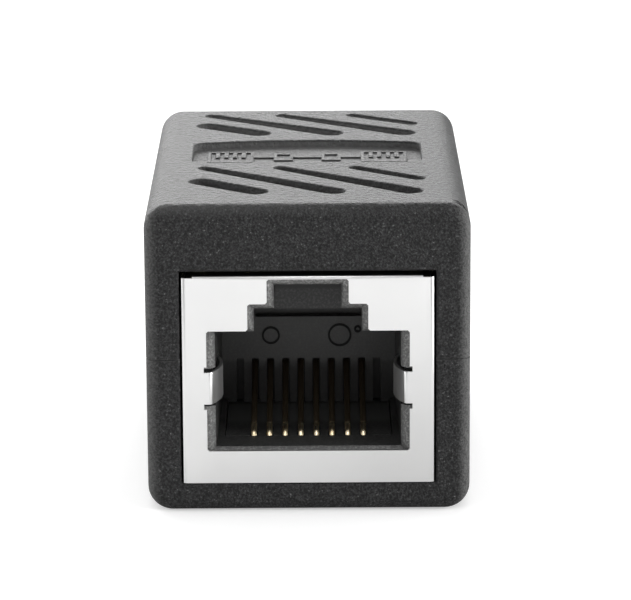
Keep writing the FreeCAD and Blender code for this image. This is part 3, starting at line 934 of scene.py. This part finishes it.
@dataclass
class Insulator(RoundedNode):
    """A socket's moulded body, with the dark slot above the wall behind its cavity."""

    slot_half_width: float = 3.75 * MM
    slot_bottom: float = 1.97 * MM
    slot_top: float = 0.06 * MM
    slot_depth: float = 0.8 * MM
    wall_depth: float = 10.0 * MM
    facing: float = 0.99
    cut_within: float = 0.0001 * MM
    level_within: float = 0.1 * MM

    def cut(self, mesh: Mesh, region: list[Face], place: Point, normal: Point) -> list[Face]:
        """Cuts some faces along a plane.

        Args:
            mesh: The mesh that they are in.
            region: The faces.
            place: A point of the plane.
            normal: The plane's normal.

        Returns:
            The faces on both sides of the cut.
        """
        pieces = region + list({edge for face in region for edge in face.edges})
        pieces += list({vert for face in region for vert in face.verts})
        made = bmesh.ops.bisect_plane(mesh, geom=pieces, dist=self.cut_within, plane_co=place,
                                      plane_no=normal)
        return [item for item in made["geom"] if isinstance(item, Face)]

    def shape(self, mesh: Mesh) -> None:
        """Sinks the slot into the cavity's rear wall, below the main ceiling.

        Args:
            mesh: The joined copy of the node.
        """
        low, high = (Vector(corner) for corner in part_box(self.node))
        outward = -1.0 if low.y < 0.0 else 1.0
        mouth = low.y if outward < 0.0 else high.y
        walls = [face for face in mesh.faces if face.normal.y * outward > self.facing
                 and abs(face.calc_center_median().y - mouth) > self.wall_depth]
        wall = max(walls, key=lambda face: face.calc_area())
        ceiling = max(vert.co.z for vert in wall.verts)
        region = [wall]
        for side in (-1, 1):
            region = self.cut(mesh, region, (side * self.slot_half_width, 0.0, 0.0),
                              (1.0, 0.0, 0.0))
        for drop in (self.slot_bottom, self.slot_top):
            region = self.cut(mesh, region, (0.0, 0.0, ceiling - drop), (0.0, 0.0, 1.0))
        middle = ceiling - (self.slot_bottom + self.slot_top) / 2
        mouths = []
        for face in region:
            centre = face.calc_center_median()
            inside = abs(centre.x) < self.slot_half_width
            if inside and abs(centre.z - middle) < self.level_within:
                mouths.append(face)
        extrude(mesh, mouths, (0.0, -outward * self.slot_depth, 0.0), keep_floor=False)
        bmesh.ops.delete(mesh, geom=mouths, context="FACES_ONLY")


@dataclass
class PlaqueSymbol:
    """A raised sign in the plaque: two plugs that meet over a line, with no lettering."""

    finish: Finish
    span: float = 13.4 * MM
    plug_size: Pair = (3.1 * MM, 3.2 * MM)
    wire_size: Pair = (0.30 * MM, 1.4 * MM)
    wire_count: int = 4
    wire_pitch: float = 0.58 * MM
    wire_shift: float = 0.58 * MM
    box_size: Pair = (1.3 * MM, 2.0 * MM)
    box_place: float = 1.6 * MM
    stroke: float = 0.32 * MM
    rise: float = 0.10 * MM
    relief_depth: float = 0.48 * MM
    middle: float = 15.9 * MM
    edge_radius: float = 0.03 * MM
    segments: int = 2

    def build(self) -> Piece:
        """Raises the two plugs, their wires and the line that joins them.

        Returns:
            The sign.
        """
        low, high = (Vector(corner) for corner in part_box("upper_shell"))
        floor = high.z - self.relief_depth
        row = low.y + self.middle
        mesh = bmesh.new()
        for side in (-1, 1):
            centre = side * (self.span - self.plug_size[0]) / 2
            self.hollow(mesh, (centre, row, floor), self.plug_size)
            for wire in range(self.wire_count):
                across = (wire - (self.wire_count - 1) / 2) * self.wire_pitch
                self.bar(mesh, (centre + across, row + self.wire_shift, floor), self.wire_size)
            self.hollow(mesh, (side * self.box_place, row, floor), self.box_size)
        inner = self.box_place - self.box_size[0] / 2
        outer = self.box_place + self.box_size[0] / 2
        link = self.span / 2 - self.plug_size[0] - outer
        for side in (-1, 1):
            self.bar(mesh, (side * (outer + link / 2), row, floor), (link, self.stroke))
        self.bar(mesh, (0.0, row, floor), (2 * inner, self.stroke))
        bmesh.ops.recalc_face_normals(mesh, faces=mesh.faces)
        sign = keep("plaque_symbol", mesh)
        round_edges(sign, self.edge_radius, self.segments)
        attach(sign, "root")
        self.finish.dress(sign)
        return sign

    def panel(self, mesh: Mesh, centre: Point, size: Pair) -> list[Vert]:
        """Lays a flat rectangle on the plaque's floor.

        Args:
            mesh: The sign's mesh.
            centre: Its middle.
            size: Its size across and along the coupler.

        Returns:
            Its corners.
        """
        corners = bmesh.ops.create_grid(mesh, x_segments=1, y_segments=1, size=0.5)["verts"]
        bmesh.ops.scale(mesh, verts=corners, vec=(*size, 1.0))
        bmesh.ops.translate(mesh, verts=corners, vec=centre)
        return corners

    def hollow(self, mesh: Mesh, centre: Point, size: Pair) -> None:
        """Raises a hollow rectangle."""
        band = outline_of(mesh, self.panel(mesh, centre, size), self.stroke)
        extrude(mesh, band, (0.0, 0.0, self.rise), keep_floor=True)

    def bar(self, mesh: Mesh, centre: Point, size: Pair) -> None:
        """Raises a solid rectangle."""
        face = self.panel(mesh, centre, size)[0].link_faces[0]
        extrude(mesh, [face], (0.0, 0.0, self.rise), keep_floor=True)


@dataclass
class Housing:
    """The two moulded shells and the sign on the roof."""

    finish: Finish = SparkedPlastic()
    edge_radius: float = 0.05 * MM

    def build(self) -> list[Piece]:
        """Rounds and dresses both shells and raises the sign.

        Returns:
            Their pieces.
        """
        return [UpperShell("upper_shell", self.finish, self.edge_radius).build(),
                RoundedNode("lower_shell", self.finish, self.edge_radius).build(),
                PlaqueSymbol(self.finish).build()]


@dataclass(frozen=True)
class Ring:
    """A ring on the wall: its middle across and up, and its outer radius."""

    across: float
    up: float
    radius: float


@dataclass
class MouldMarks:
    """Faint rings that the mould's pins leave on a cavity's rear wall."""

    end: End
    finish: Finish
    rings: tuple[Ring, ...] = (Ring(-2.5 * MM, 8.6 * MM, 0.60 * MM),
                               Ring(2.1 * MM, 8.6 * MM, 0.78 * MM),
                               Ring(3.3 * MM, 9.0 * MM, 0.24 * MM))
    stroke: float = 0.12 * MM
    rise: float = 0.12 * MM
    wall_back: float = 1.1 * MM
    segments: int = 40

    def build(self) -> Piece:
        """Raises the rings on the front socket's wall and turns them to the chosen end.

        Returns:
            The rings.
        """
        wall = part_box("front_insulator")[1][1] - self.wall_back
        upright = Matrix.Rotation(math.pi / 2, 4, "X")
        mesh = bmesh.new()
        for ring in self.rings:
            circle = bmesh.ops.create_circle(mesh, cap_ends=True, segments=self.segments,
                                             radius=ring.radius)["verts"]
            place = Matrix.Translation((ring.across, wall, ring.up))
            bmesh.ops.transform(mesh, matrix=place @ upright, verts=circle)
            extrude(mesh, outline_of(mesh, circle, self.stroke), (0.0, -self.rise, 0.0),
                    keep_floor=True)
        bmesh.ops.recalc_face_normals(mesh, faces=mesh.faces)
        bmesh.ops.transform(mesh, matrix=self.end.turn, verts=mesh.verts)
        marks = keep(f"{self.end.value}_mould_marks", mesh, smooth=False)
        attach(marks, "root")
        self.finish.dress(marks)
        return marks


@dataclass
class Socket:
    """One shielded socket: shield, insulator, carrier and eight contacts."""

    end: End
    contact_count: int = 8
    metal: Finish = PlatedSteel()
    metal_radius: float = 0.035 * MM
    body: Finish = SmoothPlastic()
    body_radius: float = 0.11 * MM
    carrier: Finish = SmoothPlastic(label="carrier_black_plastic", slot="carrier_plastic",
                                    roughness=0.36)
    # Near-black finish that paints the shade of the rings' relief on the cavity's rear wall.
    painted_shade_mark: Finish = SmoothPlastic(label="painted_shade_black_plastic", pigment=(0.004, 0.004, 0.004),
                                 fibre=(0.008, 0.008, 0.008), dust_and_painted_light=(0.004, 0.004, 0.004),
                                 roughness=0.62)
    contact: Finish = GoldPlating()
    contact_radius: float = 0.12 * MM
    contact_segments: int = 3
    solder: Finish = SolderAlloy()

    def build(self) -> list[Piece]:
        """Dresses the socket's hidden nodes and rounds what the port shows.

        Returns:
            Its pieces and dressed nodes.
        """
        end = self.end.value
        made = []
        for part, finish in (("contact_carrier", self.carrier), ("solder_joints", self.solder)):
            node = frame["nodes"][f"{end}_{part}"]
            finish.dress(node)
            made.append(node)
        rounded = [Shield(f"{end}_shield", self.metal, self.metal_radius),
                   Insulator(f"{end}_insulator", self.body, self.body_radius)]
        rounded += [RoundedNode(f"{end}_contact_{number}", self.contact, self.contact_radius,
                                self.contact_segments)
                    for number in range(1, self.contact_count + 1)]
        made += [piece.build() for piece in rounded]
        return made + [MouldMarks(self.end, self.painted_shade_mark).build()]


@dataclass
class CircuitBoard:
    """The board that joins the two sockets."""

    finish: Finish = SolderMask()

    def build(self) -> list[Piece]:
        """Dresses the board.

        Returns:
            Its piece.
        """
        board = frame["nodes"]["circuit_board"]
        self.finish.dress(board)
        return [board]


# ------------------------------------------------------------------ studio
@dataclass(frozen=True)
class Lamp:
    """A soft rectangular lamp.

    Attributes:
        name: Its name.
        place: Where it stands, in metres.
        size: Its width and height.
        radiance: How bright its face is, where 1 is white.
        aim: What it points at.
    """

    name: str
    place: Point
    size: Pair
    radiance: float
    aim: Point = (0.0, 0.0, 0.01)

    def build(self) -> None:
        """Hangs the lamp and turns it to its aim."""
        data = bpy.data.lights.new(self.name, "AREA")
        data.shape = "RECTANGLE"
        data.size, data.size_y = self.size
        data.energy = self.radiance * math.pi * self.size[0] * self.size[1]
        lamp = show(self.name, data)
        lamp.location = self.place
        away = Vector(self.aim) - Vector(self.place)
        lamp.rotation_euler = away.to_track_quat("-Z", "Y").to_euler()


@dataclass
class Studio:
    """A white floor under soft light, and the camera."""

    image: tuple[int, int] = (631, 600)
    focal: float = 3554.0
    sensor_width: float = 36.0
    clip: Pair = (10 * MM, 20.0)
    pitch: float = math.radians(14.75)
    roll: float = math.radians(-0.35)
    aim: Point = (0.0, -15.0 * MM, 8.75 * MM)
    aim_in_image: Pair = (308.2, 380.2)
    distance: float = 226.5 * MM
    world_level: float = 0.32
    floor_half: float = 1.2
    floor_drop: float = 0.02 * MM
    paper: Colour = (0.80, 0.80, 0.80)
    paper_lift: float = 0.36
    mirrored_lift: float = 0.02
    lamps: tuple[Lamp, ...] = (
        Lamp("overhead", (0.0, 0.05, 0.60), (0.70, 0.50), 0.7, aim=(0.0, 0.0, 0.0)),
        Lamp("behind", (-0.20, 0.75, 0.30), (0.90, 0.45), 6.1, aim=(0.0, 0.0, 0.02)),
        Lamp("left", (-0.55, 0.12, 0.15), (0.40, 0.28), 2.7),
        Lamp("right", (0.55, 0.12, 0.15), (0.40, 0.28), 5.5),
        Lamp("front_left", (-0.46, -0.20, 0.12), (0.16, 0.22), 2.4),
        Lamp("front_right", (0.46, -0.20, 0.12), (0.16, 0.22), 13.5),
        Lamp("key", (0.0, -0.42, 0.46), (0.10, 0.60), 3.8),
    )

    def camera(self) -> None:
        """Places the camera in front of the coupler and a little above it."""
        data = bpy.data.cameras.new("camera")
        data.sensor_width = self.sensor_width
        data.lens = self.focal / self.image[0] * self.sensor_width
        data.clip_start, data.clip_end = self.clip
        camera = show("camera", data)
        turn = (Matrix.Rotation(math.pi / 2 - self.pitch, 4, "X")
                @ Matrix.Rotation(self.roll, 4, "Z"))
        scale = self.distance / self.focal
        offset = Vector(((self.aim_in_image[0] - self.image[0] / 2) * scale,
                         (self.image[1] / 2 - self.aim_in_image[1]) * scale, -self.distance))
        place = Vector(self.aim) - turn.to_3x3() @ offset
        camera.matrix_world = Matrix.Translation(place) @ turn
        bpy.context.scene.camera = camera

    def world(self) -> None:
        """A plain pale surround that is white where the camera sees it."""
        world = bpy.data.worlds.new("surround")
        bpy.context.scene.world = world
        graph = ShaderGraph(world)
        seen = graph.add("ShaderNodeLightPath").out("Is Camera Ray")
        shade = graph.add("ShaderNodeBackground", inputs={
            "Color": (1.0, 1.0, 1.0, 1.0),
            "Strength": self.world_level + (1.0 - self.world_level) * seen})
        graph.add("ShaderNodeOutputWorld", inputs={"Surface": shade.out("Background")})

    def floor(self) -> None:
        """A white table top that keeps the coupler's soft shadow."""
        mesh = bmesh.new()
        bmesh.ops.create_grid(mesh, x_segments=1, y_segments=1, size=self.floor_half)
        bmesh.ops.translate(mesh, verts=mesh.verts, vec=(0.0, 0.0, -self.floor_drop))
        table = keep("table_top", mesh, smooth=False)
        paper = bpy.data.materials.new("white_table_top")
        graph = ShaderGraph(paper)
        path = graph.add("ShaderNodeLightPath")
        matt = graph.add("ShaderNodeBsdfDiffuse", inputs={"Color": (*self.paper, 1.0)})
        lift = graph.add("ShaderNodeEmission", inputs={
            "Strength": (self.paper_lift * path.out("Is Camera Ray")
                         + self.mirrored_lift * path.out("Is Glossy Ray"))})
        both = graph.add("ShaderNodeAddShader", inputs={0: matt.out(0), 1: lift.out(0)})
        graph.add("ShaderNodeOutputMaterial", inputs={"Surface": both.out(0)})
        table.data.materials.append(paper)

    def build(self) -> None:
        """Sets up the whole studio."""
        self.camera()
        self.world()
        self.floor()
        for lamp in self.lamps:
            lamp.build()
        bpy.context.scene.view_settings.view_transform = "Standard"


def main() -> None:
    """Builds the dressed coupler and its studio."""
    logging.basicConfig(level=logging.INFO, format="%(name)s: %(message)s")
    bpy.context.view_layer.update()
    for assembly in (Housing(), Socket(End.FRONT), Socket(End.REAR), CircuitBoard()):
        for piece in assembly.build():
            LOG.info("%s: %s", type(assembly).__name__, piece.name)
    Studio().build()
    bpy.context.view_layer.update()


if __name__ == "__main__":
    main()
